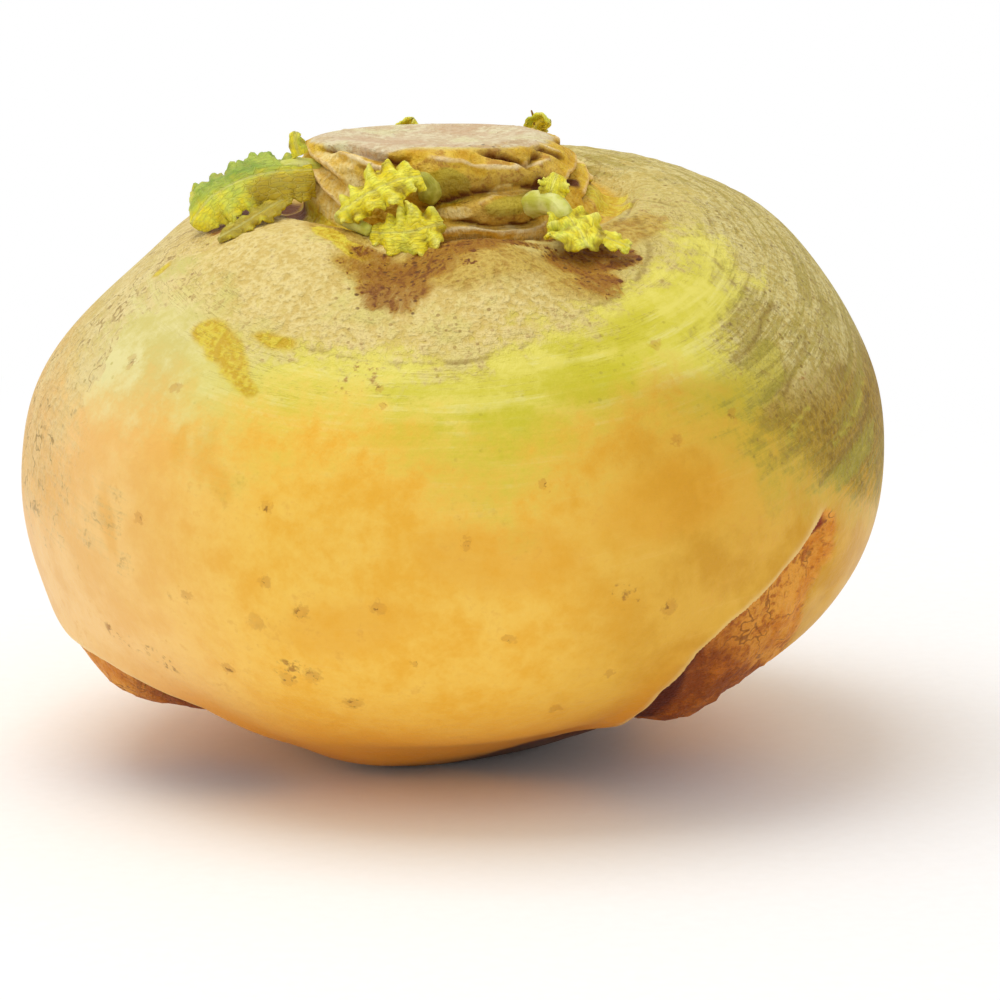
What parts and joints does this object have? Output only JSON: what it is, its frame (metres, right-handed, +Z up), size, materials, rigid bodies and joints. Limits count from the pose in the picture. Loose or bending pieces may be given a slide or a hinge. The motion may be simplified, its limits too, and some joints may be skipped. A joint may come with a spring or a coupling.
{
  "type": "golden beet",
  "caption": "Broad, flattened golden root with a ringed crown where its leaves were cut and young yellow-green sprouts, resting on a small flat spot.",
  "frame": {"origin": "middle of the beet's box at its base, in the plane of the flat spot that the root rests on", "axes": "+X to the right along the root's widest side, +Y to the back, +Z up through the neck; the two lower side furrows face the front"},
  "size_m": [0.1188, 0.1114, 0.0864],
  "materials": {
    "skin": "satin root skin, yellow-orange below, green and tan above, with fine brown specks",
    "leaf": "soft crinkled young leaf, yellow to green",
    "stalk": "smooth pale green stalk"
  },
  "bodies": {
    "root": {"root": "skin", "left_sprout_stalk": "stalk", "left_sprout_leaf": "leaf", "left_sprout_under_leaf": "leaf", "left_sprout_tip_leaf": "leaf", "middle_sprout_stalk": "stalk", "middle_sprout_side_stalk": "stalk", "middle_sprout_upper_leaf": "leaf", "middle_sprout_lower_leaf": "leaf", "right_sprout_stalk": "stalk", "right_sprout_upper_leaf": "leaf", "right_sprout_leaf": "leaf", "right_sprout_tip_leaf": "leaf", "back_left_sprout_leaf": "leaf", "back_right_sprout_stalk": "stalk", "back_right_sprout_leaf": "leaf"}
  },
  "joints": []
}
